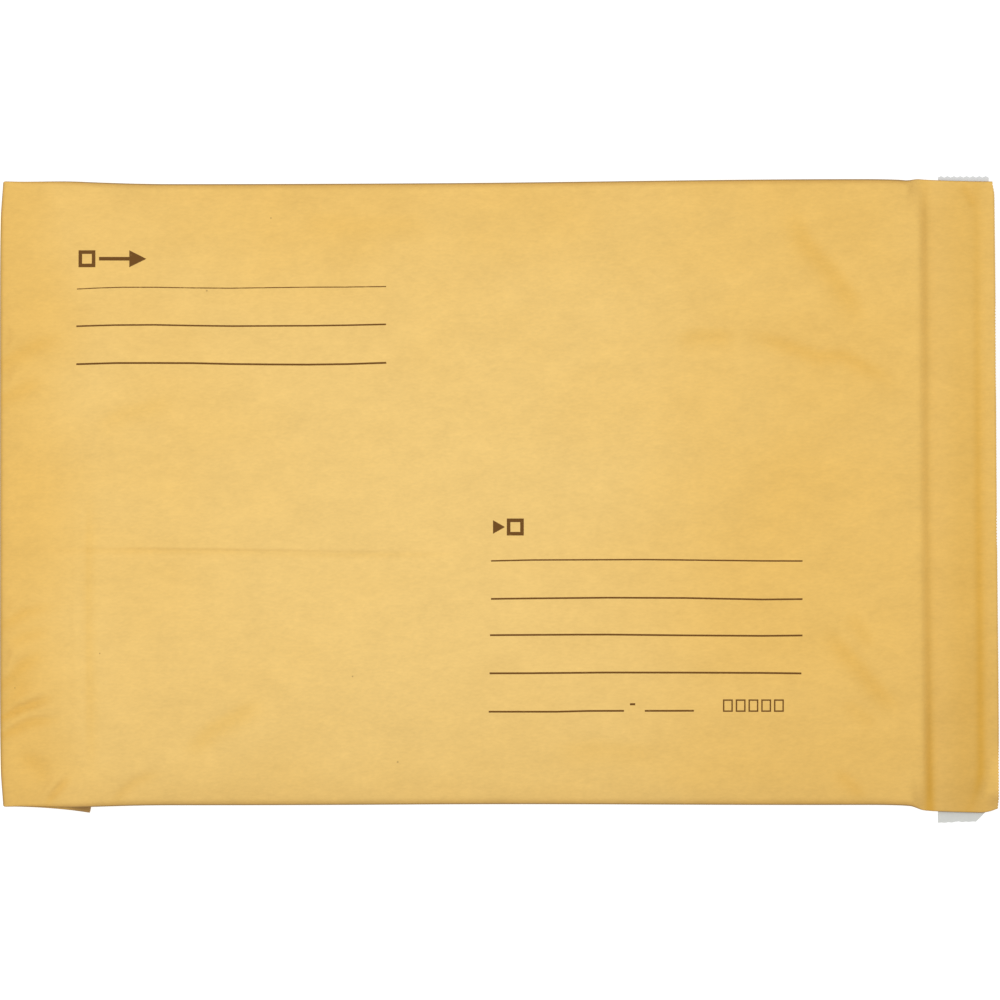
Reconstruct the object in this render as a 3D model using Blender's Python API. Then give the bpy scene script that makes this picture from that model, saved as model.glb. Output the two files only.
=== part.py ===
"""Padded paper mailer, empty, lying on its back with the address side up.

One kraft web is folded into a flat tube, with a glued lap along the back. The bottom end is
folded over onto the back and glued. Padding fills the body between the outer and inner plies,
and stops short of the lip, whose edge is pinked. A release liner covers the adhesive band.

Lengths below are in millimetres and the finished objects are in metres. +Z is up, +X runs from
the folded bottom to the mouth, and +Y runs across the address side.
"""

import math

import bmesh
import bpy
from mathutils import Vector

MM = 0.001

# Driving sizes of the tube, laid flat
LAY_FLAT_WIDTH = 219.0
BODY_LENGTH = 320.3
LIP_LENGTH = 24.05
FLAP_LENGTH = 31.4

# Layers of one wall
PLY = 0.15
PADDING = 2.3
GLUE = 0.15
CLEARANCE = 0.2

# How far the relaxed front stands above the sides, in the body and at the mouth
POCKET_RISE = 5.6
POCKET_RISE_RUN = 125.0
MOUTH_RISE = 7.7
CROWN_POWER = 4
CROWN_FALL = 1.5

# Laps that close the tube along the back, and the run over which they lift the bottom fold
SEAM_Y = -18.5
LAP = 18.0
INNER_LAP = 12.0
LAP_STEP_RUN = 5.0
LAP_MARGIN = 2.5
LAP_BUMP_RUN = 14.0
LAP_BUMP_POWER = 8

# Crushed ends of the padding
PAD_START = 2.5
PAD_START_RUN = 48.0
PAD_END_SETBACK = 1.8
PAD_END_RUN = 5.2
PAD_EDGE = 0.35
BRIDGE_POWER = 14

# Grooves pressed across the lip: where the padded body ends, and short of the mouth
FIRST_GROOVE_SETBACK = 0.9
FIRST_GROOVE_RUN = 2.6
FIRST_GROOVE_DEPTH = 0.3
SECOND_GROOVE_INSET = 5.5
SECOND_GROOVE_RUN = 2.2
SECOND_GROOVE_DEPTH = 0.8

# Back panel: its run from the flap down to the floor, and up again over the release liner
FLAP_RAMP_START = 1.0
FLAP_RAMP = 27.0
LINER_RAMP_LEAD = 6.0
LINER_RAMP = 8.0

# Glue patch under the folded-over flap, short of the fold, the sides and the flap's cut end
FOLD_GLUE_START = 8.0
FOLD_GLUE_SIDE = 10.0
FOLD_GLUE_END = 4.0

# Closure band on the lip
LINER = 0.2
LINER_WIDTH = 19.2
LINER_LENGTH = 223.9
LINER_OFFSET_Y = -1.35
LINER_SETBACK = 4.3
LINER_CUT_CORNER = 3.2
LINER_TOOTH_PITCH = 2.4
ADHESIVE_INSET = 1.5
ADHESIVE_END = 6.0

# Pinked cut
TOOTH_PITCH = 2.1
TOOTH_DEPTH = 0.65
TOOTH_ROOT = 2.4
INNER_SETBACK = 1.2

# Small departures from square in the folded paper
SIDE_TAKE = 0.4
ASKEW_RUN = 60.0
MOUTH_LEAN = 0.85
MOUTH_BOW = 0.6
MOUTH_CORNER = 1.2
CORNER_RUN = 7.0
FOLD_CORNER = 0.4
FOLD_CORNER_RUN = 14.0
FOLD_CORNER_FADE = 8.0
BOTTOM_TUCK = 1.1
TUCK_RUN = 26.0
WAIST = 0.8
WAIST_RUN = 60.0
WAIST_END = 150.0
WAIST_END_RUN = 140.0
FLAP_DRIFT = -1.64
# Sideways wander of the middle line, as (share of the body's length, drift)
MIDDLE_LINE = ((0.0, 0.5), (0.12, 0.3), (0.32, 0.35), (0.65, 0.9), (0.92, 1.2), (0.97, 1.0),
               (1.004, 0.0), (1.075, -0.55))

# Resolution of the lofts
TURN_STEPS = 6
FOLD_STEPS = 5
FRONT_STEPS = 12
MIDDLE_STATIONS = 3
# Cross-sections where the tube changes, as shares of the run they lie on
FOLD_CORNER_SHARES = (0.25, 0.6, 1.0)
PAD_START_SHARES = (0.25, 0.4)
FLAP_RAMP_SHARES = (0.0, 0.35, 0.65, 1.0)
PAD_END_SHARES = (1.6, 1.0, 0.67, 0.33)
FIRST_GROOVE_SHARES = (-1.0, -0.4, 0.0, 0.4, 1.0, 2.0)
SECOND_GROOVE_SHARES = (-1.6, 0.0)
SHADING_ANGLE = 50.0

# Sizes that follow from those above
MOUTH_X = BODY_LENGTH + LIP_LENGTH
LAP_STEP = PLY + GLUE + 2 * CLEARANCE
FLAT_STACK = 4 * PLY + 3 * CLEARANCE
TURN_INNER = (GLUE + 2 * CLEARANCE) / 2
TURN_RADIUS = TURN_INNER + FLAT_STACK + LAP_STEP
FLAP_LIFT = TURN_RADIUS + TURN_INNER
LINER_LIFT = LINER + GLUE + 2 * CLEARANCE
LAP_LOW_END = SEAM_Y + LAP / 2
LAP_TOP_END = SEAM_Y - LAP / 2
INNER_LOW_END = LAP_TOP_END - LAP_MARGIN
INNER_TOP_END = INNER_LOW_END - INNER_LAP
STEP_END = LAP_LOW_END + LAP_MARGIN
STEP_START = STEP_END + LAP_STEP_RUN
PAD_END = BODY_LENGTH - PAD_END_SETBACK
FIRST_GROOVE = BODY_LENGTH - FIRST_GROOVE_SETBACK
SECOND_GROOVE = MOUTH_X - SECOND_GROOVE_INSET
FLAP_RAMP_LOW = FLAP_LENGTH + FLAP_RAMP_START
LINER_RAMP_LOW = BODY_LENGTH - LINER_RAMP_LEAD
FLAT_FOLD_RADIUS = 2 * PLY + 1.5 * CLEARANCE
PADDED_FOLD_RADIUS = FLAT_FOLD_RADIUS + PADDING + CLEARANCE

COLOURS = {
    "kraft_outer": (0.78, 0.55, 0.19, 1.0),
    "kraft_inner": (0.62, 0.43, 0.22, 1.0),
    "fibre": (0.45, 0.42, 0.38, 1.0),
    "glue": (0.85, 0.80, 0.62, 1.0),
    "adhesive": (0.88, 0.86, 0.78, 1.0),
    "release_paper": (0.80, 0.81, 0.80, 1.0),
}


def remove_scene_objects():
    for item in list(bpy.data.objects):
        bpy.data.objects.remove(item, do_unlink=True)


def make_collection(name):
    collection = bpy.data.collections.new(name)
    bpy.context.scene.collection.children.link(collection)
    return collection


def make_material(name, roughness):
    material = bpy.data.materials.new(name)
    material.use_nodes = True
    shader = material.node_tree.nodes["Principled BSDF"]
    shader.inputs["Base Color"].default_value = COLOURS[name]
    shader.inputs["Roughness"].default_value = roughness
    shader.inputs["Metallic"].default_value = 0.0
    return material


def add_object(name, mesh, material, collection):
    mesh.materials.append(material)
    item = bpy.data.objects.new(name, mesh)
    collection.objects.link(item)
    return item


def ease(low, high, value):
    """0 below low and 1 above high, with a smooth rise between."""
    share = min(1.0, max(0.0, (value - low) / (high - low)))
    return share * share * (3.0 - 2.0 * share)


def curve_through(points, place):
    """Height at place of a smooth curve through (place, height) points."""
    places = [point[0] for point in points]
    heights = [point[1] for point in points]
    last = len(points) - 1
    if place <= places[0]:
        return heights[0]
    if place >= places[last]:
        return heights[last]
    slopes = [0.0] * len(points)
    for i in range(1, last):
        slopes[i] = (heights[i + 1] - heights[i - 1]) / (places[i + 1] - places[i - 1])
    i = max(k for k in range(last) if places[k] <= place)
    run = places[i + 1] - places[i]
    t = (place - places[i]) / run
    return (heights[i] * (2 * t**3 - 3 * t**2 + 1) + heights[i + 1] * (3 * t**2 - 2 * t**3)
            + run * (slopes[i] * (t**3 - 2 * t**2 + t) + slopes[i + 1] * (t**3 - t**2)))


class Station:
    """One cross-section of the tube: where it stands and how far it is swollen.

    turn is 0 in the body, pi in the folded-over flap and in between on the bottom fold.
    """

    def __init__(self, x, turn):
        body = turn == 0
        self.x = x
        self.turn = turn
        self.fill = fill_at(x) if body else 0.0
        self.rise = rise_at(x) if body else 0.0
        self.back = back_height(x) if body else FLAP_LIFT
        self.bump = 1.0 - ease(TURN_RADIUS, TURN_RADIUS + LAP_BUMP_RUN, x) if body else 1.0
        self.liner_depth = PLY + CLEARANCE + self.fill * (PADDING + CLEARANCE)
        self.fold_radius = self.liner_depth + PLY + CLEARANCE / 2
        self.bridge = bridge_at(x, self.fold_radius)
        self.dip = groove_at(x)
        self.half_width = half_width_at(x, turn, self.fold_radius)
        self.drift = drift_at(x, turn)

    def height(self, y):
        """Thickness of the tube over a point of its back, outside to outside."""
        share = min(1.0, abs(y) / (self.half_width - self.fold_radius))
        crown = (1.0 - share**CROWN_POWER) ** CROWN_FALL
        lift = self.bridge * (1.0 - share**BRIDGE_POWER)
        lift += LAP_STEP * self.bump * (1.0 - share**LAP_BUMP_POWER)
        return 2 * self.fold_radius + lift + self.rise * crown - self.dip * math.sqrt(crown)

    def place(self, y, height):
        """World point, in metres, of a section point."""
        reach = TURN_INNER + height
        axis_height = self.back - TURN_INNER
        x = self.x - reach * math.sin(self.turn) + self.lean(y)
        z = axis_height + reach * math.cos(self.turn)
        return Vector((x, y + self.drift, z)) * MM

    def lean(self, y):
        """Shift along X where the mouth is cut askew and the four corners are worn round."""
        share = y / self.half_width
        askew = MOUTH_BOW * share**2 - MOUTH_LEAN * share
        shift = askew * ease(BODY_LENGTH - ASKEW_RUN, BODY_LENGTH, self.x)
        corner = ease(self.half_width - CORNER_RUN, self.half_width, abs(y)) ** 2
        shift -= MOUTH_CORNER * corner * ease(MOUTH_X - CORNER_RUN, MOUTH_X, self.x)
        corner = ease(self.half_width - FOLD_CORNER_RUN, self.half_width, abs(y))
        at_fold = 1.0 - ease(TURN_RADIUS, TURN_RADIUS + FOLD_CORNER_FADE, self.x)
        return shift + FOLD_CORNER * corner * at_fold


def fill_at(x):
    """Share of the full padding thickness at a place along the body."""
    start = min(1.0, max(0.0, (x - PAD_START) / PAD_START_RUN))
    return start * (2.0 - start) * (1.0 - ease(PAD_END - PAD_END_RUN, PAD_END, x))


def before_groove(x):
    """1 up to the first groove and 0 past it, with the drop between."""
    return 1.0 - ease(FIRST_GROOVE - FIRST_GROOVE_RUN, FIRST_GROOVE + FIRST_GROOVE_RUN, x)


def rise_at(x):
    """How far the middle of the front stands above its sides."""
    swell = min(1.0, (x - TURN_RADIUS) / POCKET_RISE_RUN)
    body = before_groove(x)
    return body * POCKET_RISE * swell * (2.0 - swell) + (1.0 - body) * MOUTH_RISE


def bridge_at(x, fold_radius):
    """Height that the front keeps past the end of the padding, up to the first groove."""
    return 2 * (PADDED_FOLD_RADIUS - fold_radius) * before_groove(x) if x > BODY_LENGTH / 2 else 0.0


def groove_at(x):
    """How deep the two grooves are pressed at a place along the lip."""
    grooves = ((FIRST_GROOVE + FIRST_GROOVE_RUN, FIRST_GROOVE_RUN, FIRST_GROOVE_DEPTH),
               (SECOND_GROOVE, SECOND_GROOVE_RUN, SECOND_GROOVE_DEPTH))
    return sum(depth * math.exp(-((x - middle) / run) ** 2) for middle, run, depth in grooves)


def back_height(x):
    """Height of the back panel's underside: over the flap, on the floor, over the liner."""
    over_flap = FLAP_LIFT * (1.0 - ease(FLAP_RAMP_LOW, FLAP_RAMP_LOW + FLAP_RAMP, x))
    return over_flap + LINER_LIFT * ease(LINER_RAMP_LOW, LINER_RAMP_LOW + LINER_RAMP, x)


def half_width_at(x, turn, fold_radius):
    """Half the flat width, less what the side folds and the narrower places take."""
    half = LAY_FLAT_WIDTH / 2 - SIDE_TAKE * fold_radius
    if turn:
        return half - BOTTOM_TUCK
    waist = ease(0.0, WAIST_RUN, x) * (1.0 - ease(WAIST_END, WAIST_END + WAIST_END_RUN, x))
    return half - WAIST * waist - BOTTOM_TUCK * (1.0 - ease(TURN_RADIUS, TURN_RADIUS + TUCK_RUN, x))


def drift_at(x, turn):
    """Sideways wander of the middle line."""
    start = MIDDLE_LINE[0][1]
    if turn == math.pi:
        return start + (FLAP_DRIFT - start) * ((x - TURN_RADIUS) / (FLAP_LENGTH - TURN_RADIUS)) ** 2
    return curve_through(MIDDLE_LINE, x / BODY_LENGTH) if turn == 0 else start


def make_stations():
    """Stations from the flap's cut end, round the bottom fold, to the mouth."""
    flap = [Station(x, math.pi) for x in (FLAP_LENGTH, FLAP_LENGTH * 2 / 3, FLAP_LENGTH / 3)]
    turn = [Station(TURN_RADIUS, math.pi * (1 - i / TURN_STEPS)) for i in range(TURN_STEPS + 1)]
    places = [TURN_RADIUS + FOLD_CORNER_FADE * share for share in FOLD_CORNER_SHARES]
    places += [PAD_START + PAD_START_RUN * share for share in PAD_START_SHARES]
    places += [FLAP_RAMP_LOW + FLAP_RAMP * share for share in FLAP_RAMP_SHARES]
    pad_end = [PAD_END - PAD_END_RUN * share for share in PAD_END_SHARES]
    spacing = (pad_end[0] - places[-1]) / (MIDDLE_STATIONS + 1)
    places += [places[-1] + spacing * (i + 1) for i in range(MIDDLE_STATIONS)] + pad_end
    places += [FIRST_GROOVE + FIRST_GROOVE_RUN * share for share in FIRST_GROOVE_SHARES]
    places += [SECOND_GROOVE + SECOND_GROOVE_RUN * share for share in SECOND_GROOVE_SHARES]
    places.append(MOUTH_X - TOOTH_ROOT)
    return flap + turn + [Station(x, 0.0) for x in sorted(places)]


def section(station, depth, low_end, top_end):
    """Section points of a ply at a depth below the tube's outside.

    They start at the lap's lower end, pass the -Y fold, the front and the +Y fold, and come
    back along the back to the lap's upper end, which steps over the lower one.
    """
    fold_y = station.half_width - station.fold_radius
    radius = station.fold_radius - depth
    points = [(low_end, depth), (FOLD_CORNER_RUN - fold_y, depth)]
    for i in range(FOLD_STEPS + 1):
        angle = math.pi * i / FOLD_STEPS
        points.append((-fold_y - radius * math.sin(angle),
                       station.fold_radius - radius * math.cos(angle)))
    for i in range(1, FRONT_STEPS):
        y = -fold_y * math.cos(math.pi * i / FRONT_STEPS)
        points.append((y, station.height(y) - depth))
    for i in range(FOLD_STEPS + 1):
        angle = math.pi * (1 - i / FOLD_STEPS)
        points.append((fold_y + radius * math.sin(angle),
                       station.fold_radius - radius * math.cos(angle)))
    points.append((fold_y - FOLD_CORNER_RUN, depth))
    if top_end > STEP_START:
        return points + [(top_end, depth)]
    return points + [(STEP_START, depth), (STEP_END, depth + LAP_STEP),
                     (top_end, depth + LAP_STEP)]


def section_row(station, depth, low_end, top_end):
    return [station.place(y, height) for y, height in section(station, depth, low_end, top_end)]


def add_row(mesh, points):
    return [mesh.verts.new(point) for point in points]


def bridge_rows(mesh, rows, flip=False):
    """Faces between neighbouring rows, facing out of the tube unless flipped.

    They are triangles, so that layers that lie together bend along the same diagonals.
    """
    for near, far in zip(rows, rows[1:]):
        for i in range(len(near) - 1):
            for corners in ((near[i], far[i], far[i + 1]), (near[i], far[i + 1], near[i + 1])):
                mesh.faces.new(reversed(corners) if flip else corners)


def tooth_cuts(row):
    """Places along a pinked row as (segment, share of it, how far the tooth stands out)."""
    lengths = [0.0]
    for near, far in zip(row, row[1:]):
        lengths.append(lengths[-1] + (far - near).length / MM)
    teeth = round(lengths[-1] / TOOTH_PITCH)
    spacing = lengths[-1] / teeth
    places = sorted(set(lengths[:-1]) | {spacing * i / 2 for i in range(1, 2 * teeth)})
    cuts = []
    for place in places:
        i = max(k for k in range(len(row) - 1) if lengths[k] <= place)
        share = (place - lengths[i]) / (lengths[i + 1] - lengths[i])
        wave = abs(2.0 * (place / spacing % 1.0) - 1.0)
        cuts.append((i, share, TOOTH_DEPTH * (1.0 - wave)))
    cuts.append((len(row) - 2, 1.0, 0.0))
    return cuts


def pinked_row(row, cuts):
    return [row[i].lerp(row[i + 1], share) + Vector((out * MM, 0.0, 0.0))
            for i, share, out in cuts]


def zip_rows(mesh, coarse, fine, cuts, flip=False):
    """Triangles from a plain row to the pinked one beside it."""
    i = 0
    for k in range(len(fine) - 1):
        corners = [(coarse[i], fine[k], fine[k + 1])]
        if cuts[k + 1][0] > i or k == len(fine) - 2:
            corners.append((coarse[i], fine[k + 1], coarse[i + 1]))
            i += 1
        for triangle in corners:
            mesh.faces.new(reversed(triangle) if flip else triangle)


def finish_mesh(mesh, name, smooth=True):
    data = bpy.data.meshes.new(name)
    mesh.to_mesh(data)
    mesh.free()
    if smooth:
        data.shade_smooth()
        data.set_sharp_from_angle(angle=math.radians(SHADING_ANGLE))
    return data


def layer(name, sections, material, collection, pinked_at=None):
    """A closed layer lofted through sections, each a pair of rows: outer side and inner side.

    pinked_at is the pair of rows that the teeth of a pinked edge start from.
    """
    mesh = bmesh.new()
    outer = [add_row(mesh, rows[0]) for rows in sections]
    inner = [add_row(mesh, rows[1]) for rows in sections]
    bridge_rows(mesh, outer)
    bridge_rows(mesh, inner, flip=True)
    if pinked_at:
        cuts = tooth_cuts(pinked_at[0])
        outer.append(add_row(mesh, pinked_row(pinked_at[0], cuts)))
        inner.append(add_row(mesh, pinked_row(pinked_at[1], cuts)))
        zip_rows(mesh, outer[-2], outer[-1], cuts)
        zip_rows(mesh, inner[-2], inner[-1], cuts, flip=True)
    bridge_rows(mesh, [inner[0], outer[0]])
    bridge_rows(mesh, [outer[-1], inner[-1]])
    bridge_rows(mesh, [[row[0] for row in outer], [row[0] for row in inner]])
    bridge_rows(mesh, [[row[-1] for row in inner], [row[-1] for row in outer]])
    return add_object(name, finish_mesh(mesh, name), material, collection)


def outer_rows(station):
    return [section_row(station, depth, LAP_LOW_END, LAP_TOP_END) for depth in (0.0, PLY)]


def outer_kraft_sheet(stations, material, collection):
    """The whole outer ply: front, back, lap, folded bottom and pinked lip."""
    roots = outer_rows(Station(MOUTH_X - TOOTH_DEPTH, 0.0))
    return layer("outer_kraft_sheet", [outer_rows(station) for station in stations],
                 material, collection, pinked_at=roots)


def inner_kraft_liner(stations, material, collection):
    """The ply that faces the pocket, lapped beside the outer seam."""
    sections = [[section_row(station, station.liner_depth + depth, INNER_LOW_END, INNER_TOP_END)
                 for depth in (0.0, PLY)]
                for station in stations + [Station(MOUTH_X - INNER_SETBACK, 0.0)]]
    return layer("inner_kraft_liner", sections, material, collection)


def padding(stations, material, collection):
    """Fibre mat between the plies, open along the seam and thinned at its crushed ends."""
    low_end = LAP_TOP_END - LAP_MARGIN
    top_end = STEP_START + LAP_MARGIN
    sections = []
    for station in stations:
        depths = (PLY + CLEARANCE, station.liner_depth - CLEARANCE)
        if depths[1] - depths[0] >= PAD_EDGE:
            sections.append([section_row(station, depth, low_end, top_end) for depth in depths])
    return layer("padding", sections, material, collection)


def seam_glue(stations, material, collection):
    """Glue line inside the lap, along the whole tube."""
    sides = (LAP_TOP_END + LAP_MARGIN, LAP_LOW_END - LAP_MARGIN)
    low = PLY + CLEARANCE
    sections = [[[station.place(y, height) for y in sides] for height in (low + GLUE, low)]
                for station in stations[1:-1]]
    return layer("seam_glue", sections, material, collection)


def flat_block(name, low, high, material, collection):
    """A thin rectangular layer between two corners, in millimetres."""
    mesh = bmesh.new()
    bmesh.ops.create_cube(mesh, size=1.0)
    for vert in mesh.verts:
        share = vert.co + Vector((0.5, 0.5, 0.5))
        vert.co = Vector([(a + (b - a) * s) * MM for a, b, s in zip(low, high, share)])
    return add_object(name, finish_mesh(mesh, name, smooth=False), material, collection)


def fold_glue(material, collection):
    """Glue between the folded-over flap and the back panel."""
    bottom = TURN_RADIUS - GLUE / 2
    edge = LAY_FLAT_WIDTH / 2 - FOLD_GLUE_SIDE
    return flat_block("fold_glue", (FOLD_GLUE_START, -edge, bottom),
                      (FLAP_LENGTH - FOLD_GLUE_END, edge, bottom + GLUE), material, collection)


def liner_span():
    """Near and far edge of the release liner along X."""
    near = BODY_LENGTH + LINER_SETBACK
    return near, near + LINER_WIDTH


def closure_adhesive(material, collection):
    """Self-seal band on the outside of the lip's back."""
    near, far = liner_span()
    bottom = LINER + CLEARANCE
    edge = LAY_FLAT_WIDTH / 2 - ADHESIVE_END
    return flat_block("closure_adhesive", (near + ADHESIVE_INSET, -edge, bottom),
                      (far - ADHESIVE_INSET, edge, bottom + GLUE), material, collection)


def release_liner(material, collection):
    """Paper strip over the adhesive, longer than the lip and torn off on teeth at one end."""
    near, far = liner_span()
    low = LINER_OFFSET_Y - LINER_LENGTH / 2
    high = LINER_OFFSET_Y + LINER_LENGTH / 2
    teeth = round(LINER_WIDTH / LINER_TOOTH_PITCH)
    pitch = LINER_WIDTH / teeth
    outline = [(near, low), (far - LINER_CUT_CORNER, low), (far, low + LINER_CUT_CORNER)]
    for i in range(teeth):
        outline.append((far - pitch * i, high - TOOTH_DEPTH))
        outline.append((far - pitch * (i + 0.5), high))
    outline.append((near, high - TOOTH_DEPTH))
    curve = bpy.data.curves.new("release_liner", "CURVE")
    curve.dimensions = "2D"
    curve.fill_mode = "BOTH"
    curve.extrude = LINER * MM / 2
    spline = curve.splines.new("POLY")
    spline.points.add(len(outline) - 1)
    spline.use_cyclic_u = True
    for point, (x, y) in zip(spline.points, outline):
        point.co = (x * MM, y * MM, 0.0, 1.0)
    curve.materials.append(material)
    item = bpy.data.objects.new("release_liner", curve)
    item.location.z = LINER * MM / 2
    collection.objects.link(item)
    return item


def stand_on_origin(items):
    """Move the mailer so that the origin is under the middle of its box, on the floor."""
    graph = bpy.context.evaluated_depsgraph_get()
    points = []
    for item in items:
        solid = item.evaluated_get(graph)
        points += [solid.matrix_world @ vert.co for vert in solid.to_mesh().vertices]
        solid.to_mesh_clear()
    low = Vector([min(point[i] for point in points) for i in range(3)])
    high = Vector([max(point[i] for point in points) for i in range(3)])
    middle = (low + high) / 2
    for item in items:
        item.location -= Vector((middle.x, middle.y, low.z))


def main():
    remove_scene_objects()
    collection = make_collection("padded_mailer")
    stations = make_stations()
    glue = make_material("glue", 0.5)
    items = [
        outer_kraft_sheet(stations, make_material("kraft_outer", 0.75), collection),
        inner_kraft_liner(stations, make_material("kraft_inner", 0.8), collection),
        padding(stations, make_material("fibre", 0.95), collection),
        seam_glue(stations, glue, collection),
        fold_glue(glue, collection),
        closure_adhesive(make_material("adhesive", 0.35), collection),
        release_liner(make_material("release_paper", 0.45), collection),
    ]
    stand_on_origin(items)


main()
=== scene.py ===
"""Looks of the padded paper mailer: creased kraft plies, print, release liner, light and camera.

The plies are lofted again, finely, from the sizes of the solids they stand for, but for the finer
teeth, the lip's and the flap's corners, and the padding's ends. They take the creases that the
photograph shows. Lengths are in millimetres in the loft and metres in the scene. Photograph places
are pixels of its 1000 x 1000 frame, and at() turns them into loft lengths.
"""

import math

import bpy
import numpy as np
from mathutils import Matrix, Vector
from mathutils.bvhtree import BVHTree


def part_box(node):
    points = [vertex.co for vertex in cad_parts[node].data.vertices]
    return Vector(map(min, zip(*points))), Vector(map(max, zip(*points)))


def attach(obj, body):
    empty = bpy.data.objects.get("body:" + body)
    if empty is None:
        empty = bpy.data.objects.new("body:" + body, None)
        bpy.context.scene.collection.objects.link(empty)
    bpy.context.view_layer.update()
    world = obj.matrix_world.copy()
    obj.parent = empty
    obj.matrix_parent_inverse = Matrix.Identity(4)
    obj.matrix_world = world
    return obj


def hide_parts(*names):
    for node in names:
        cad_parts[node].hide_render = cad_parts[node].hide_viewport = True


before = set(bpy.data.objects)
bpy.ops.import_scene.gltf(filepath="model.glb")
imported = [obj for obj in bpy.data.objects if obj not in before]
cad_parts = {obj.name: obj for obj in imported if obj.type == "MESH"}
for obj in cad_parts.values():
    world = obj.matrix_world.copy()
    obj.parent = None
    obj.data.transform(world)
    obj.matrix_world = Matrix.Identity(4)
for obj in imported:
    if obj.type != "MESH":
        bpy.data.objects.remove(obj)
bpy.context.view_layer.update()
MM = 0.001

# Photograph's frame
PIXEL_MM = 0.34587
PICTURE_PIXELS = 1000
MIDDLE_PIXEL = (PICTURE_PIXELS - 1) / 2
LEFT_FOLD_PIXEL = -0.7
MIDDLE_LINE_PIXEL = 495.0
OUTLINE_HEIGHT_MM = 3.0
FRONT_HEIGHT_MM = 11.5
CAMERA_HEIGHT = 2.4
SENSOR = 36.0

# Driving sizes of the tube, laid flat
LAY_FLAT_WIDTH = 219.0
BODY_LENGTH = 320.3
LIP_LENGTH = 24.05
FLAP_LENGTH = 31.4

# Layers of one wall
PLY = 0.15
PADDING = 2.3
GLUE = 0.15
CLEARANCE = 0.2
LINER = 0.2

# How far the relaxed front stands above the sides, in the body and at the mouth
POCKET_RISE = 5.6
POCKET_RISE_RUN = 125.0
MOUTH_RISE = 7.7
CROWN_POWER = 4
CROWN_FALL = 1.5

# Laps that close the tube along the back, and the run over which they lift the bottom fold
SEAM_Y = -18.5
LAP = 18.0
INNER_LAP = 12.0
LAP_STEP_RUN = 5.0
LAP_MARGIN = 2.5
LAP_BUMP_RUN = 14.0
LAP_BUMP_POWER = 8

# Crushed ends of the padding
PAD_START = 2.5
PAD_START_RUN = 48.0
PAD_END_SETBACK = 1.8
PAD_END_RUN = 5.2
BRIDGE_POWER = 14

# Grooves pressed across the lip: where the padded body ends, and short of the mouth
FIRST_GROOVE_SETBACK = 0.9
FIRST_GROOVE_RUN = 2.6
FIRST_GROOVE_DEPTH = 0.3
SECOND_GROOVE_INSET = 5.5
SECOND_GROOVE_RUN = 2.2
SECOND_GROOVE_DEPTH = 0.8

# Back panel: its run from the flap down to the floor, and up again over the release liner
FLAP_RAMP_START = 1.0
FLAP_RAMP = 27.0
LINER_RAMP_LEAD = 6.0
LINER_RAMP = 8.0

# Pinked cut, whose fine teeth are worn smooth in places
TOOTH_PITCH = 1.05
TOOTH_DEPTH = 0.25
TOOTH_ROOT = 0.8
TOOTH_LEAST = 0.25
WEAR_SIZE = 14.0
WEAR_SEED = 21
WORN_BELOW, SHARP_ABOVE = -0.1, 0.5
INNER_SETBACK = 1.2

# Small departures from square in the folded paper. LIP_CURL is how far the lip's low corner is drawn in
SIDE_TAKE = 0.4
ASKEW_RUN = 60.0
MOUTH_LEAN = 0.85
MOUTH_BOW = 0.6
MOUTH_LOW_CORNER = 0.4
MOUTH_TOP_CORNER = 0.6
CORNER_RUN = 7.0
LIP_CURL = 1.55
LIP_CURL_RUN = 6.7
FLAP_CORNER = 0.4
FLAP_CORNER_RUN = 1.2
FOLD_CORNER = 0.4
FOLD_CORNER_RUN = 14.0
FOLD_CORNER_FADE = 8.0
BOTTOM_TUCK = 1.1
TUCK_RUN = 26.0
WAIST = 0.8
WAIST_RUN = 60.0
WAIST_END = 150.0
WAIST_END_RUN = 140.0
FLAP_DRIFT = -1.64
LINER_OFFSET_Y = -1.35
# Sideways wander of the middle line, as (share of the body's length, drift)
MIDDLE_LINE = ((0.0, 0.5), (0.12, 0.3), (0.32, 0.35), (0.65, 0.9), (0.92, 1.2), (0.97, 1.0),
               (1.004, 0.0), (1.075, -0.55))

# Sizes that follow from those above
MOUTH_X = BODY_LENGTH + LIP_LENGTH
LAP_STEP = PLY + GLUE + 2 * CLEARANCE
FLAT_STACK = 4 * PLY + 3 * CLEARANCE
TURN_INNER = (GLUE + 2 * CLEARANCE) / 2
TURN_RADIUS = TURN_INNER + FLAT_STACK + LAP_STEP
FLAP_LIFT = TURN_RADIUS + TURN_INNER
LINER_LIFT = LINER + GLUE + 2 * CLEARANCE
LAP_LOW_END = SEAM_Y + LAP / 2
LAP_TOP_END = SEAM_Y - LAP / 2
INNER_LOW_END = LAP_TOP_END - LAP_MARGIN
INNER_TOP_END = INNER_LOW_END - INNER_LAP
STEP_END = LAP_LOW_END + LAP_MARGIN
STEP_START = STEP_END + LAP_STEP_RUN
PAD_END = BODY_LENGTH - PAD_END_SETBACK
FIRST_GROOVE = BODY_LENGTH - FIRST_GROOVE_SETBACK
SECOND_GROOVE = MOUTH_X - SECOND_GROOVE_INSET
FLAP_RAMP_LOW = FLAP_LENGTH + FLAP_RAMP_START
LINER_RAMP_LOW = BODY_LENGTH - LINER_RAMP_LEAD
FLAT_FOLD_RADIUS = 2 * PLY + 1.5 * CLEARANCE
PADDED_FOLD_RADIUS = FLAT_FOLD_RADIUS + PADDING + CLEARANCE

# Resolution of the fine lofts
FLAP_SPACING = 3.0
TURN_STEPS = 10
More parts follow.
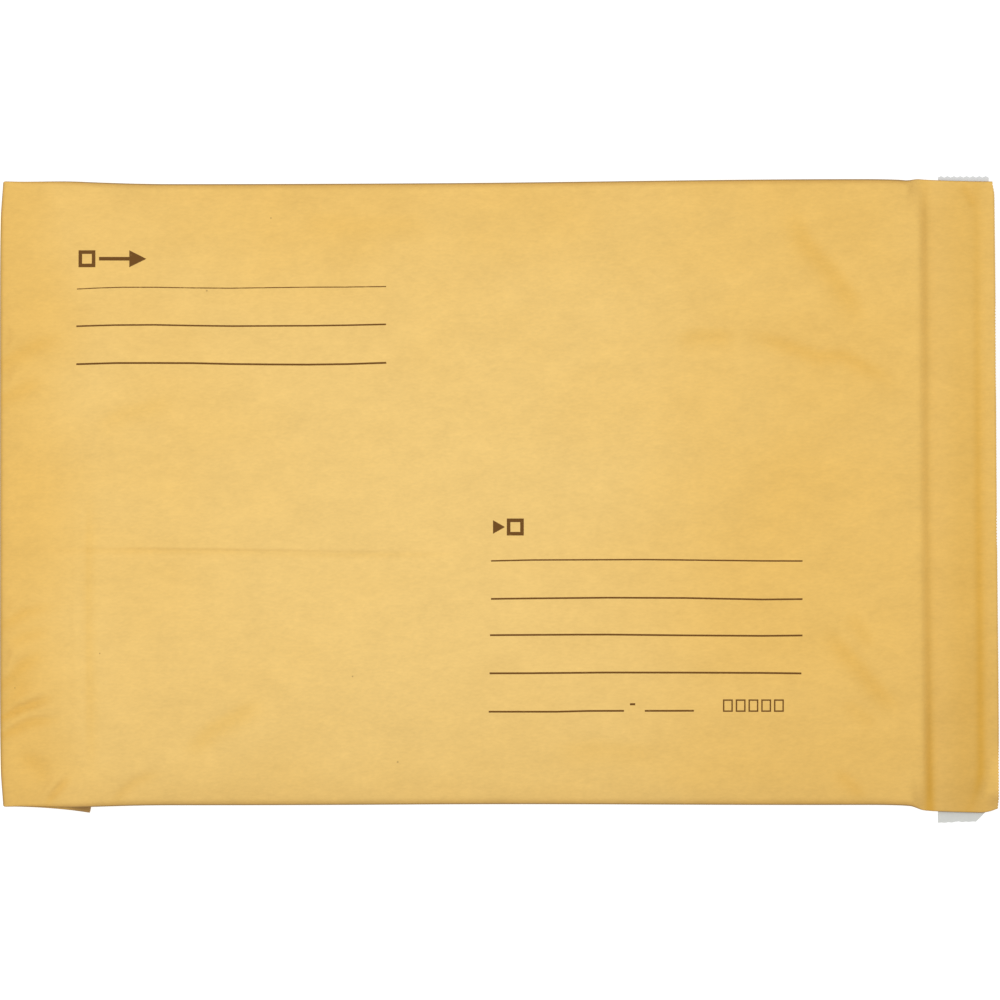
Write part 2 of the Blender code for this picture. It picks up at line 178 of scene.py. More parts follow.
# Places along the body and lip, and the spacing from each to the next
SPACINGS = ((TURN_RADIUS, 1.3), (62.0, 2.7), (236.0, 1.3), (BODY_LENGTH - 12.0, 0.8),
            (MOUTH_X - TOOTH_ROOT, 0.0))
FOLD_STEPS = 7
FRONT_STEPS = 140
SEAM_STEPS = 8
SEAM_HALF_SPAN = 2.2
SEAM_GAP = 0.003
BACK_STEPS = 12
LAP_RISE_STEPS = 4
LAP_STEPS = 6
EDGE_CROWDING = 0.3

# Where the loft's origin lies in the scene, read from the solids
SHIFT_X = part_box("outer_kraft_sheet")[0].x / MM
SHIFT_Y = sum(corner.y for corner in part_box("release_liner")) / 2 / MM - LINER_OFFSET_Y


def at(column, row, height=FRONT_HEIGHT_MM):
    """Loft place, in millimetres, of a place in the photograph that lies at a height."""
    shrink = (CAMERA_HEIGHT - height * MM) / (CAMERA_HEIGHT - OUTLINE_HEIGHT_MM * MM)
    return ((MIDDLE_PIXEL + (column - MIDDLE_PIXEL) * shrink - LEFT_FOLD_PIXEL) * PIXEL_MM,
            (MIDDLE_LINE_PIXEL - MIDDLE_PIXEL - (row - MIDDLE_PIXEL) * shrink) * PIXEL_MM)


def ease(start, full, value):
    """0 up to start and 1 from full on, with a smooth rise between, leftwards if full is lower."""
    share = np.clip((value - start) / (full - start), 0.0, 1.0)
    return share * share * (3.0 - 2.0 * share)


def curve_through(points, place):
    """Height at place of a smooth curve through (place, height) points."""
    places, heights = (np.array(column, float) for column in zip(*points))
    slopes = np.zeros(len(points))
    slopes[1:-1] = (heights[2:] - heights[:-2]) / (places[2:] - places[:-2])
    place = np.clip(place, places[0], places[-1])
    i = np.clip(np.searchsorted(places, place, side="right") - 1, 0, len(points) - 2)
    run = places[i + 1] - places[i]
    t = (place - places[i]) / run
    return (heights[i] * (2 * t**3 - 3 * t**2 + 1) + heights[i + 1] * (3 * t**2 - 2 * t**3)
            + run * (slopes[i] * (t**3 - 2 * t**2 + t) + slopes[i + 1] * (t**3 - t**2)))


# Relief of the creased front

LATTICE = 128
# Run over which the relief sets in past a fold, and the factor on the heights of FOLDED_CREASES
CREASE_LEAD = 2.5
CREASE_GAIN = 2.0
# Share of a crease's length over which it fades, and how far past its ends the fade runs
CREASE_FADE = 0.3
CREASE_OVERRUN = 0.02
# Each crease: places in the photograph, half width and height in millimetres. The paper stands
# higher on the left of its direction, so one that runs right has its dark face below.
FOLDED_CREASES = (
    (((-40, 638), (4, 618), (22, 607), (56, 600)), 1.7, 0.26),
    (((0, 641), (25, 631), (48, 624)), 1.8, 0.18),
    (((-40, 700), (4, 674), (16, 660), (42, 645)), 2.6, 0.38),
    (((-40, 716), (4, 694), (16, 680), (34, 668)), 2.8, 0.24),
    (((-40, 729), (3, 712), (20, 704), (56, 691)), 1.5, 0.44),
    (((-40, 746), (6, 728), (26, 718), (64, 713)), 1.7, 0.36),
    (((14, 747), (34, 752), (58, 760)), 2.2, 0.12),
    (((22, 750), (42, 762), (54, 782)), 2.6, 0.20),
    (((38, 806), (52, 790), (66, 772)), 1.3, 0.30),
    (((102, 808), (118, 788), (134, 776), (162, 767)), 1.7, 0.20),
    (((174, 752), (205, 722), (262, 690)), 3.6, 0.30),
    (((-40, 376), (4, 352), (30, 338), (62, 326)), 2.8, 0.26),
    (((-40, 408), (4, 388), (24, 378), (46, 370)), 2.8, 0.24),
    (((966, 180), (974, 192), (980, 206)), 1.4, 0.24),
    (((84, 424), (120, 404), (176, 390)), 3.6, 0.16),
    (((670, 331), (700, 325), (740, 327)), 3.4, 0.26),
    (((738, 322), (788, 337), (818, 348), (845, 347), (871, 361), (888, 369), (908, 384)), 2.6,
     0.34),
    (((796, 196), (815, 236), (838, 262), (860, 292), (872, 326)), 4.0, 0.36),
    (((852, 606), (866, 622), (880, 646)), 3.0, 0.20),
    (((826, 620), (846, 640), (868, 664), (890, 690), (910, 706)), 3.2, 0.36),
    (((842, 695), (857, 701), (884, 722)), 2.8, 0.18),
    (((838, 764), (852, 776), (872, 796)), 2.4, 0.28),
    (((545, 744), (600, 736), (665, 746)), 4.4, 0.16),
    (((290, 205), (360, 214), (440, 208)), 4.4, 0.14),
)
# Straight marks pressed through from the back: the lap's edge and the end of the folded flap
SEAM_MARK = ((14, 547), (130, 548), (236, 549), (330, 551), (492, 552))
SEAM_MARK_HALF_WIDTH = 0.9
SEAM_MARK_HEIGHT = 0.32
FLAP_MARK = ((86, 800), (84, 705), (82, 600), (84, 470))
FLAP_MARK_HALF_WIDTH = 1.8
FLAP_MARK_HEIGHT = 0.42
# Padding lumps under the ply: (size, height, seed)
LUMPS = ((46.0, 0.42, 11), (19.0, 0.13, 12), (8.5, 0.045, 13), (4.5, 0.018, 14))
LUMP_STRETCH = 1.5
# The -Y end of the second groove bends away from the mouth, and fades there
BEND_DEPTH = -5.2
BEND_START = 93.0
BEND_RUN = 17.0
BEND_FADE = 0.75
# Bands across the lip of bruised fibre and painted shade in the grooves: (middle, run, strength at the
# -Y side and at the +Y side, how sharply the first fades into the second, whether the -Y end bends)
BRUISE_AND_SHADE_BANDS = (
    (FIRST_GROOVE + 0.9, 1.7, 1.15, 0.19, 6, False),
    (SECOND_GROOVE - 0.7, 1.6, 0.7, 0.15, 1, True),
    (SECOND_GROOVE - 4.5, 8.0, 0.40, 0.25, 1, False),
)
# Bruising with painted shade on the dark face of a crease, per millimetre of its height
CREASE_BRUISE_AND_SHADE = 0.5
# Ranges that take in the whole front, along X and along -Y
ALL_X = (-9.0, -8.0)
ALL_Y = (-120.0, -119.0)
# Areas of painted shade on the front: (X where it starts and where it is full, the same in -Y, strength)
SHADES = (
    (ALL_X, (40.0, 90.0), 0.055),
    (ALL_X, (95.0, 105.0), 0.08),
    ((308.0, 338.0), (-10.0, 80.0), 0.09),
    ((4.5, 0.8), ALL_Y, 0.07),
    ((4.5, 0.8), (-35.0, 35.0), 0.05),
    ((305.0, 325.0), ALL_Y, 0.05),
    ((MOUTH_X - 0.6, MOUTH_X), ALL_Y, 0.4),
)
# Spots of painted shade: (middle and reach in the photograph, strength)
SHADE_SPOTS = (((4, 648), (9, 16), 0.05), ((993, 801), (7, 8), 0.22))
# Corner of the lip past the groove's bend, which curls up and catches the light: where it begins and is
# full along X from the groove, and where it begins, is full, falls and ends along -Y
CURL_NEAR, CURL_FAR = 1.0, 4.0
CURL_START, CURL_FULL = 84.0, 96.0
CURL_FALL, CURL_END = 100.0, 107.0
# Painted shade on the flap, which lies in the shade of the bag, most of all at its end
FLAP_SHADE = 0.35
FLAP_END_SHADE = 1.0
FLAP_SHADE_START = 9.0
FLAP_SHADE_FULL = 4.0
FLAP_MARGIN = 1.0
# Least upward lean of a face that takes bruises and painted shade
FACING_UP = 0.2


def cloud(x, y, size, seed):
    """Smooth random field between about -1 and 1, whose lumps are about size across."""
    lattice = np.random.default_rng(seed).uniform(-1.0, 1.0, (LATTICE, LATTICE))
    u, v = x / size + LATTICE / 2, y / size + LATTICE / 2
    i, j = np.floor(u).astype(int), np.floor(v).astype(int)
    s, t = (ease(0.0, 1.0, part) for part in (u - i, v - j))
    near = lattice[i % LATTICE, j % LATTICE] * (1 - s) + lattice[(i + 1) % LATTICE, j % LATTICE] * s
    far = (lattice[i % LATTICE, (j + 1) % LATTICE] * (1 - s)
           + lattice[(i + 1) % LATTICE, (j + 1) % LATTICE] * s)
    return near * (1 - t) + far * t


def crease(x, y, points, half_width):
    """How far the paper stands along a broken line, from 1 on its left to -1 on its right."""
    places = np.array([at(*point) for point in points])
    steps = np.diff(places, axis=0)
    lengths = np.hypot(*steps.T)
    starts = np.concatenate(([0.0], np.cumsum(lengths)))
    nearest = np.full(np.shape(x), np.inf)
    side = np.zeros(np.shape(x))
    along = np.zeros(np.shape(x))
    for (px, py), (dx, dy), length, start in zip(places, steps, lengths, starts):
        share = np.clip(((x - px) * dx + (y - py) * dy) / length**2, 0.0, 1.0)
        gap_x, gap_y = x - px - share * dx, y - py - share * dy
        gap = np.hypot(gap_x, gap_y)
        closer = gap < nearest
        across = (dx * (y - py) - dy * (x - px)) / length
        side = np.where(closer, across, side)
        along = np.where(closer, (start + share * length) / starts[-1], along)
        nearest = np.where(closer, gap, nearest)
    offset = np.sign(side) * nearest / half_width
    fade = (ease(-CREASE_OVERRUN, CREASE_FADE, along)
            * (1.0 - ease(1.0 - CREASE_FADE, 1.0 + CREASE_OVERRUN, along)))
    return fade * offset * np.exp(0.5 - offset**2 / 2)


def all_creases(x, y):
    """Each crease at a place, as how far it stands and its height in millimetres."""
    yield crease(x, y, SEAM_MARK, SEAM_MARK_HALF_WIDTH), SEAM_MARK_HEIGHT
    yield crease(x, y, FLAP_MARK, FLAP_MARK_HALF_WIDTH), FLAP_MARK_HEIGHT
    for points, half_width, height in FOLDED_CREASES:
        yield crease(x, y, points, half_width), CREASE_GAIN * height


def relief(x, y):
    """How far the creased front lies above the smooth one, in millimetres."""
    total = sum(share * height for share, height in all_creases(x, y))
    padded = fill_at(x)
    for size, height, seed in LUMPS:
        share = padded if size < LUMPS[0][0] else 1.0
        total = total + share * height * cloud(x / LUMP_STRETCH, y, size, seed)
    return total


def bent_end(y):
    """Shift along X of the second groove where its -Y end bends away from the mouth."""
    return BEND_DEPTH * np.clip((-y - BEND_START) / BEND_RUN, 0.0, 1.0) ** 2


def bruise_and_shade(x, y):
    """Bruised fibre and painted shade, 0 to 1: on creases' dark faces, in the grooves and on the lip."""
    total = sum(CREASE_BRUISE_AND_SHADE * height * np.maximum(0.0, -share)
                for share, height in all_creases(x, y))
    share = 2.0 * y / LAY_FLAT_WIDTH
    for middle, run, low, high, power, bends in BRUISE_AND_SHADE_BANDS:
        strength = high + (low - high) * np.clip((1.0 - share) / 2.0, 0.0, 1.0) ** power
        if bends:
            middle = middle + bent_end(y)
            strength = strength * (1.0 - BEND_FADE * ease(CURL_FULL, CURL_END, -y))
        total = total + strength * np.exp(-((x - askew(share) - middle) / run) ** 2)
    return np.clip(total, 0.0, 1.0)


def shaded(x, y, z):
    """Painted shade on the sheet, from 0 to 1: in areas and spots of the front, and on the flap."""
    x = np.where(x > BODY_LENGTH / 2, x - askew(2.0 * y / LAY_FLAT_WIDTH), x)
    front = sum(strength * ease(*along_x, x) * ease(*along_y, -y)
                for along_x, along_y, strength in SHADES)
    curled = (ease(CURL_NEAR, CURL_FAR, x - SECOND_GROOVE - bent_end(y))
              * ease(CURL_START, CURL_FULL, -y) * (1.0 - ease(CURL_FALL, CURL_END, -y)))
    front = front * (1.0 - curled)
    for middle, reach, strength in SHADE_SPOTS:
        spot_x, spot_y = at(*middle)
        reach_x, reach_y = (pixels * PIXEL_MM for pixels in reach)
        front = front + strength * np.exp(-((x - spot_x) / reach_x) ** 2 - ((y - spot_y) / reach_y) ** 2)
    at_end = ease(FLAP_LENGTH - FLAP_SHADE_START, FLAP_LENGTH - FLAP_SHADE_FULL, x)
    flap = FLAP_SHADE + (FLAP_END_SHADE - FLAP_SHADE) * at_end
    on_flap = (z < FLAP_LIFT - CLEARANCE) & (x < FLAP_LENGTH + FLAP_MARGIN)
    return np.where(on_flap, flap, front)


def askew(share):
    """Shift along X of the askew mouth, at a share of the half width."""
    return MOUTH_BOW * share**2 - MOUTH_LEAN * share


class Station:
    """One cross-section of the tube: where it stands and how far it is swollen.

    turn is 0 in the body, pi in the folded-over flap and in between on the bottom fold.
    """

    def __init__(self, x, turn):
        body = turn == 0
        self.x = x
        self.turn = turn
        self.fill = fill_at(x) if body else 0.0
        self.rise = rise_at(x) if body else 0.0
        self.back = back_height(x) if body else FLAP_LIFT
        self.bump = 1.0 - ease(TURN_RADIUS, TURN_RADIUS + LAP_BUMP_RUN, x) if body else 1.0
        self.liner_depth = PLY + CLEARANCE + self.fill * (PADDING + CLEARANCE)
        self.fold_radius = self.liner_depth + PLY + CLEARANCE / 2
        self.bridge = bridge_at(x, self.fold_radius)
        self.dip = groove_at(x)
        self.half_width = half_width_at(x, turn, self.fold_radius)
        self.drift = drift_at(x, turn)
        self.creased = ease(TURN_RADIUS, TURN_RADIUS + CREASE_LEAD, x) if body else 0.0

    def height(self, y):
        """Thickness of the tube over a point of its back, outside to outside."""
        reach = self.half_width - self.fold_radius
        share = np.minimum(1.0, np.abs(y) / reach)
        crown = (1.0 - share**CROWN_POWER) ** CROWN_FALL
        lift = self.bridge * (1.0 - share**BRIDGE_POWER)
        lift = lift + LAP_STEP * self.bump * (1.0 - share**LAP_BUMP_POWER)
        smooth = 2 * self.fold_radius + lift + self.rise * crown - self.dip * np.sqrt(crown)
        if not self.creased:
            return smooth
        inside = ease(0.0, CREASE_LEAD, reach - np.abs(y))
        return smooth + self.creased * inside * relief(self.x + self.lean(y), y + self.drift)

    def place(self, y, height):
        """Scene points, in metres, of section points."""
        reach = TURN_INNER + height
        axis_height = self.back - TURN_INNER
        x = self.x - reach * math.sin(self.turn) + self.lean(y)
        z = axis_height + reach * math.cos(self.turn)
        return np.stack([x + SHIFT_X, y + self.tuck(y) + self.drift + SHIFT_Y, z], axis=-1) * MM

    def tuck(self, y):
        """Shift along Y of the lip's low corner, which curls up and looks drawn in from above."""
        share = np.clip((self.x - MOUTH_X + LIP_CURL_RUN) / LIP_CURL_RUN, 0.0, 1.0)
        return LIP_CURL * share**2 * ease(self.half_width - LIP_CURL_RUN, self.half_width, -y)

    def lean(self, y):
        """Shift along X where the mouth is cut askew and the four corners are worn round."""
        shift = askew(y / self.half_width) * ease(BODY_LENGTH - ASKEW_RUN, BODY_LENGTH, self.x)
        if self.turn == math.pi:
            corner = ease(self.half_width - FLAP_CORNER_RUN, self.half_width, np.abs(y))
            shift = shift - FLAP_CORNER * corner * ease(FLAP_LENGTH - CORNER_RUN, FLAP_LENGTH, self.x)
        corner = ease(self.half_width - CORNER_RUN, self.half_width, np.abs(y)) ** 2
        cut = np.where(y < 0.0, MOUTH_LOW_CORNER, MOUTH_TOP_CORNER)
        shift = shift - cut * corner * ease(MOUTH_X - CORNER_RUN, MOUTH_X, self.x)
        corner = ease(self.half_width - FOLD_CORNER_RUN, self.half_width, np.abs(y))
        at_fold = 1.0 - ease(TURN_RADIUS, TURN_RADIUS + FOLD_CORNER_FADE, self.x)
        return shift + FOLD_CORNER * corner * at_fold


def fill_at(x):
    """Share of the full padding thickness at a place along the body."""
    start = np.clip((x - PAD_START) / PAD_START_RUN, 0.0, 1.0)
    return start * (2.0 - start) * (1.0 - ease(PAD_END - PAD_END_RUN, PAD_END, x))


def before_groove(x):
    """1 up to the first groove and 0 past it, with the drop between."""
    return 1.0 - ease(FIRST_GROOVE - FIRST_GROOVE_RUN, FIRST_GROOVE + FIRST_GROOVE_RUN, x)


def rise_at(x):
    """How far the middle of the front stands above its sides."""
    swell = np.clip((x - TURN_RADIUS) / POCKET_RISE_RUN, 0.0, 1.0)
    body = before_groove(x)
    return body * POCKET_RISE * swell * (2.0 - swell) + (1.0 - body) * MOUTH_RISE


def bridge_at(x, fold_radius):
    """Height that the front keeps past the end of the padding, up to the first groove."""
    return 2 * (PADDED_FOLD_RADIUS - fold_radius) * before_groove(x) if x > BODY_LENGTH / 2 else 0.0


def groove_at(x):
    """How deep the two grooves sink at a place along the lip."""
    grooves = ((FIRST_GROOVE + FIRST_GROOVE_RUN, FIRST_GROOVE_RUN, FIRST_GROOVE_DEPTH),
               (SECOND_GROOVE, SECOND_GROOVE_RUN, SECOND_GROOVE_DEPTH))
    return sum(depth * math.exp(-((x - middle) / run) ** 2) for middle, run, depth in grooves)


def back_height(x):
    """Height of the back panel's underside: over the flap, on the floor, over the liner."""
    over_flap = FLAP_LIFT * (1.0 - ease(FLAP_RAMP_LOW, FLAP_RAMP_LOW + FLAP_RAMP, x))
    return over_flap + LINER_LIFT * ease(LINER_RAMP_LOW, LINER_RAMP_LOW + LINER_RAMP, x)


def half_width_at(x, turn, fold_radius):
    """Half the flat width, less what the side folds and the narrower places take."""
    half = LAY_FLAT_WIDTH / 2 - SIDE_TAKE * fold_radius
    if turn:
        return half - BOTTOM_TUCK
    waist = ease(0.0, WAIST_RUN, x) * (1.0 - ease(WAIST_END, WAIST_END + WAIST_END_RUN, x))
    return half - WAIST * waist - BOTTOM_TUCK * (1.0 - ease(TURN_RADIUS, TURN_RADIUS + TUCK_RUN, x))


def drift_at(x, turn):
    """Sideways wander of the middle line."""
    start = MIDDLE_LINE[0][1]
    if turn == math.pi:
        return start + (FLAP_DRIFT - start) * ((x - TURN_RADIUS) / (FLAP_LENGTH - TURN_RADIUS)) ** 2
    return curve_through(MIDDLE_LINE, x / BODY_LENGTH) if turn == 0 else start


def evenly(low, high, spacing):
    """Places from low to high, both kept, about spacing apart."""
    return np.linspace(low, high, round(abs(high - low) / spacing) + 1)


def make_stations():
    """Stations from the flap's cut end, round the bottom fold, to the mouth."""
    flap = [Station(x, math.pi) for x in evenly(FLAP_LENGTH, TURN_RADIUS, FLAP_SPACING)[:-1]]
    turn = [Station(TURN_RADIUS, math.pi * (1 - i / TURN_STEPS)) for i in range(TURN_STEPS + 1)]
    body = [Station(x, 0.0) for (low, spacing), (high, _) in zip(SPACINGS, SPACINGS[1:])
            for x in evenly(low, high, spacing)[1:]]
    return flap + turn + body


def front_shares():
    """Places across the front as shares of its half width, closer at the folds and over the seam."""
    share = np.linspace(-1.0, 1.0, FRONT_STEPS + 1)
    share = EDGE_CROWDING * np.sin(share * math.pi / 2) + (1 - EDGE_CROWDING) * share
    seam = np.array([SEAM_Y - SEAM_HALF_SPAN, SEAM_Y + SEAM_HALF_SPAN]) / (LAY_FLAT_WIDTH / 2)
    plain = share[(share < seam[0] - SEAM_GAP) | (share > seam[1] + SEAM_GAP)]
    return np.sort(np.concatenate([plain, np.linspace(*seam, SEAM_STEPS + 1)]))[1:-1]


FRONT_SHARES = front_shares()


def section_points(station, depth, low_end, top_end):
    """Scene points of a ply's section at a depth below the tube's outside.

    They start at the lap's lower end, pass the -Y fold, the front and the +Y fold, and come
    back along the back to the lap's upper end, which steps over the lower one.
    """
    fold_y = station.half_width - station.fold_radius
    radius = station.fold_radius - depth
    angles = np.linspace(0.0, math.pi, FOLD_STEPS + 1)
    turn_y, turn_z = radius * np.sin(angles), station.fold_radius - radius * np.cos(angles)
    front_y = fold_y * FRONT_SHARES
    low_y = np.linspace(low_end, -fold_y, BACK_STEPS + 1)[:-1]
    step_y = np.linspace(STEP_START, STEP_END, LAP_RISE_STEPS + 1)
    high_y = np.linspace(fold_y, STEP_START, BACK_STEPS + 1)[1:-1]
    last_y = np.linspace(STEP_END, top_end, LAP_STEPS + 1)[1:]
    y = [low_y, -fold_y - turn_y, front_y, fold_y + turn_y[::-1], high_y]
    z = [np.full(len(low_y), depth), turn_z, station.height(front_y) - depth, turn_z[::-1],
         np.full(len(high_y), depth)]
    if top_end > STEP_START:
        y.append(np.array([top_end]))
        z.append(np.array([depth]))
    else:
        y += [step_y, last_y]
        z += [depth + LAP_STEP * ease(STEP_START, STEP_END, step_y),
              np.full(len(last_y), depth + LAP_STEP)]
    return station.place(np.concatenate(y), np.concatenate(z))


# Mesh building

def new_piece(name, points, faces, material, smooth_angle=50.0):
    """A mesh piece from scene points, riding on the part's one body."""
    data = bpy.data.meshes.new(name)
    data.from_pydata(np.asarray(points, float).reshape(-1, 3).tolist(), [], faces)
    data.validate()
    data.materials.append(material)
    data.shade_smooth()
    data.set_sharp_from_angle(angle=math.radians(smooth_angle))
    piece = bpy.data.objects.new(name, data)
    bpy.context.scene.collection.objects.link(piece)
    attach(piece, "root")
    return piece


def wound(faces, flip):
    """The faces, turned over where flip is set."""
    return [corners[::-1] if flip else corners for corners in faces]


def strip(near, far, flip=False):
    """Triangles between two rows of point numbers, alike in number and direction."""
    faces = []
    for i in range(len(near) - 1):
        faces += [(near[i], far[i], far[i + 1]), (near[i], far[i + 1], near[i + 1])]
    return wound(faces, flip)


def tooth_cuts(row):
    """Places along a pinked row as (segment, share of it, how far the tooth stands out)."""
    lengths = np.concatenate(([0.0], np.cumsum(np.linalg.norm(np.diff(row, axis=0), axis=1)) / MM))
    teeth = round(lengths[-1] / TOOTH_PITCH)
    spacing = lengths[-1] / teeth
    places = sorted(set(lengths[:-1]) | {spacing * i / 2 for i in range(1, 2 * teeth)})
    cuts = []
    for place in places:
        i = int(np.searchsorted(lengths, place, side="right")) - 1
        share = (place - lengths[i]) / (lengths[i + 1] - lengths[i])
        wave = abs(2.0 * (place / spacing % 1.0) - 1.0)
        wear = cloud(place, 0.0, WEAR_SIZE, WEAR_SEED)
        kept = TOOTH_LEAST + (1.0 - TOOTH_LEAST) * ease(WORN_BELOW, SHARP_ABOVE, wear)
        cuts.append((i, share, TOOTH_DEPTH * (1.0 - wave * kept)))
    return cuts + [(len(row) - 2, 1.0, TOOTH_DEPTH * (1.0 - TOOTH_LEAST))]


def pinked_row(row, cuts):
    """Points of a row with teeth standing out along X."""
    return np.array([row[i] + (row[i + 1] - row[i]) * share + (out * MM, 0.0, 0.0)
                     for i, share, out in cuts])


def zip_rows(coarse, fine, cuts, flip=False):
    """Triangles from a plain row to the pinked one beside it."""
    faces = []
    i = 0
    for k in range(len(fine) - 1):
        faces.append((coarse[i], fine[k], fine[k + 1]))
        if cuts[k + 1][0] > i or k == len(fine) - 2:
            faces.append((coarse[i], fine[k + 1], coarse[i + 1]))
            i += 1
    return wound(faces, flip)


def closed_layer(name, sections, material, pinked_at=None):
    """A closed ply lofted through sections, each a pair of rows: outer side and inner side."""
    points = []

    def add(row):
        points.extend(row)
        return list(range(len(points) - len(row), len(points)))

    outer = [add(rows[0]) for rows in sections]
    inner = [add(rows[1]) for rows in sections]
    faces = []
    for i in range(len(sections) - 1):
        faces += strip(outer[i], outer[i + 1]) + strip(inner[i], inner[i + 1], flip=True)
    if pinked_at:
        cuts = tooth_cuts(pinked_at[0])
        outer.append(add(pinked_row(pinked_at[0], cuts)))
        inner.append(add(pinked_row(pinked_at[1], cuts)))
        faces += zip_rows(outer[-2], outer[-1], cuts)
        faces += zip_rows(inner[-2], inner[-1], cuts, flip=True)
    faces += strip(inner[0], outer[0]) + strip(outer[-1], inner[-1])
    faces += strip([row[0] for row in outer], [row[0] for row in inner])
    faces += strip([row[-1] for row in inner], [row[-1] for row in outer])
    return new_piece(name, points, faces, material)


# Materials

# Dark specks in the pulp: place in the photograph and radius in millimetres
SPECKS = ((270, 217, 0.35), (206, 290, 0.4), (99, 653, 0.35), (352, 676, 0.35), (397, 762, 0.4),
          (13, 688, 0.3))
SPECK_BROWN = (0.20, 0.11, 0.04)
SPECK_STRENGTH = 0.5
# Kraft: its two tones, then what bruises, painted shade and painted rim shade multiply them by
KRAFT_LIGHT = (0.784, 0.528, 0.174)
KRAFT_DEEP = (0.742, 0.46, 0.116)
BRUISE_AND_SHADE_TINT = (0.91, 0.80, 0.42)
SHADED_TINT = (0.45, 0.41, 0.44)
TILTED_SHADE_TINT = (0.82, 0.76, 0.68)
UPRIGHT_SHADE_TINT = (0.45, 0.42, 0.36)
# How strongly the fine grain, the coarser clumps and the broad clouds of the pulp vary it
GRAIN_CONTRAST = 0.30
CLUMP_CONTRAST = 0.15
CLOUD_CONTRAST = 0.7


class Recipe:
    """Builds one procedural material. Scales are features per metre, colours red, green and blue."""

    def __init__(self, name, roughness, specular):
        self.material = bpy.data.materials.new(name)
        self.material.use_nodes = True
        self.tree = self.material.node_tree
        self.shader = self.tree.nodes["Principled BSDF"]
        self.shader.inputs["Roughness"].default_value = roughness
        self.shader.inputs["Specular IOR Level"].default_value = specular
        self.places = self.node("TexCoord").outputs["Object"]

    def node(self, kind, **inputs):
        """A node whose inputs are set by name, or linked where the value is a socket."""
        made = self.tree.nodes.new("ShaderNode" + kind)
        for key, value in inputs.items():
            self.feed(made.inputs[key], value)
        return made

    def feed(self, socket, value):
        if isinstance(value, bpy.types.NodeSocket):
            self.tree.links.new(value, socket)
        else:
            socket.default_value = value

    def math(self, operation, first, second=0.0, third=0.0):
        made = self.node("Math")
        made.operation = operation
        for socket, value in zip(made.inputs, (first, second, third)):
            self.feed(socket, value)
        return made.outputs[0]

    def times(self, value, factor):
        return self.math("MULTIPLY", value, factor)

    def varied(self, base, noise, contrast):
        """base, raised and lowered by noise about its middle."""
        return self.math("MULTIPLY_ADD", self.math("SUBTRACT", noise, 0.5), contrast, base)

    def attribute(self, name):
        made = self.node("Attribute")
        made.attribute_name = name
        return made.outputs["Fac"]

    def axes(self, vector):
        return self.node("SeparateXYZ", Vector=vector).outputs

    def stretched(self, scale, turn=0.0):
        """Object places scaled along each axis, after a turn about Z."""
        mapping = self.node("Mapping", Vector=self.places)
        mapping.inputs["Scale"].default_value = scale
        mapping.inputs["Rotation"].default_value = (0.0, 0.0, turn)
        return mapping.outputs[0]

    def noise(self, scale, detail=3.0, along=1.0, roughness=0.5, turn=0.0):
        """Noise, drawn out along X where its scale there, along, is under 1."""
        places = self.stretched((along, 1.0, 1.0), turn)
        return self.node("TexNoise", Vector=places, Scale=scale, Detail=detail,
                         Roughness=roughness).outputs[0]

    def between(self, value, low, high):
        """0 where value is under low and 1 over high, smoothly."""
        made = self.node("MapRange", Value=value)
        made.interpolation_type = "SMOOTHSTEP"
        made.inputs["From Min"].default_value = low
        made.inputs["From Max"].default_value = high
        return made.outputs[0]

    def mix(self, share, first, second, blend="MIX"):
        made = self.node("Mix")
        made.data_type = "RGBA"
        made.blend_type = blend
        self.feed(made.inputs["Factor"], share)
        colours = [item for item in made.inputs if item.type == "RGBA"]
        for socket, value in zip(colours, (first, second)):
            self.feed(socket, (*value, 1.0) if isinstance(value, tuple) else value)
        return next(item for item in made.outputs if item.type == "RGBA")

    def tinted(self, share, colour, tint):
        return self.mix(share, colour, tint, blend="MULTIPLY")

    def bump(self, height, strength, distance):
        made = self.node("Bump", Height=height, Strength=strength, Distance=distance)
        self.feed(self.shader.inputs["Normal"], made.outputs[0])

    def colour(self, value):
        self.feed(self.shader.inputs["Base Color"], value)
        return self.material


def kraft_paper():
    """Golden kraft: short fibres along the web, cloudy pulp, a few specks, more golden edges."""
    recipe = Recipe("kraft_outer", roughness=0.78, specular=0.2)
    cloudy = recipe.noise(28.0, detail=4.0, along=0.6)
    clump = recipe.noise(95.0, along=0.7)
    pulp = recipe.noise(450.0, detail=4.0, along=0.55, roughness=0.6)
    fibre = recipe.noise(1400.0, along=0.45, turn=0.05)
    patch = recipe.varied(golden_edges(recipe), cloudy, CLOUD_CONTRAST)
    tone = recipe.mix(recipe.between(patch, -0.1, 1.1), KRAFT_LIGHT, KRAFT_DEEP)
    grain = recipe.math("ADD", recipe.times(pulp, 0.5), recipe.times(fibre, 0.5))
    shade = recipe.varied(recipe.varied(1.0, grain, GRAIN_CONTRAST), clump, CLUMP_CONTRAST)
    grey = recipe.node("CombineColor", Red=shade, Green=shade, Blue=shade).outputs[0]
    toned = recipe.tinted(1.0, tone, grey)
    # Bruised fibre, with painted shade on the creases' dark faces, in the grooves and on the lip
    bruised_and_shaded = recipe.tinted(recipe.attribute("bruise_and_shade"), toned, BRUISE_AND_SHADE_TINT)
    # Painted shade over areas and spots of the front, and on the flap
    with_painted_shade = recipe.tinted(recipe.attribute("shaded"), bruised_and_shaded, SHADED_TINT)
    normal = recipe.axes(recipe.node("NewGeometry").outputs["Normal"])
    sideways = recipe.math("MAXIMUM", recipe.math("ABSOLUTE", normal[1]), recipe.times(normal[0], -1.0))
    # Painted shade on faces that turn sideways at the folds, darkest where they stand upright at the rims
    rim_shaded = recipe.tinted(recipe.between(sideways, 0.2, 0.94), with_painted_shade, TILTED_SHADE_TINT)
    rim_shaded = recipe.tinted(recipe.between(sideways, 0.75, 1.0), rim_shaded, UPRIGHT_SHADE_TINT)
    recipe.bump(grain, strength=0.35, distance=0.00012)
    return recipe.colour(recipe.mix(recipe.times(specks(recipe), SPECK_STRENGTH), rim_shaded, SPECK_BROWN))


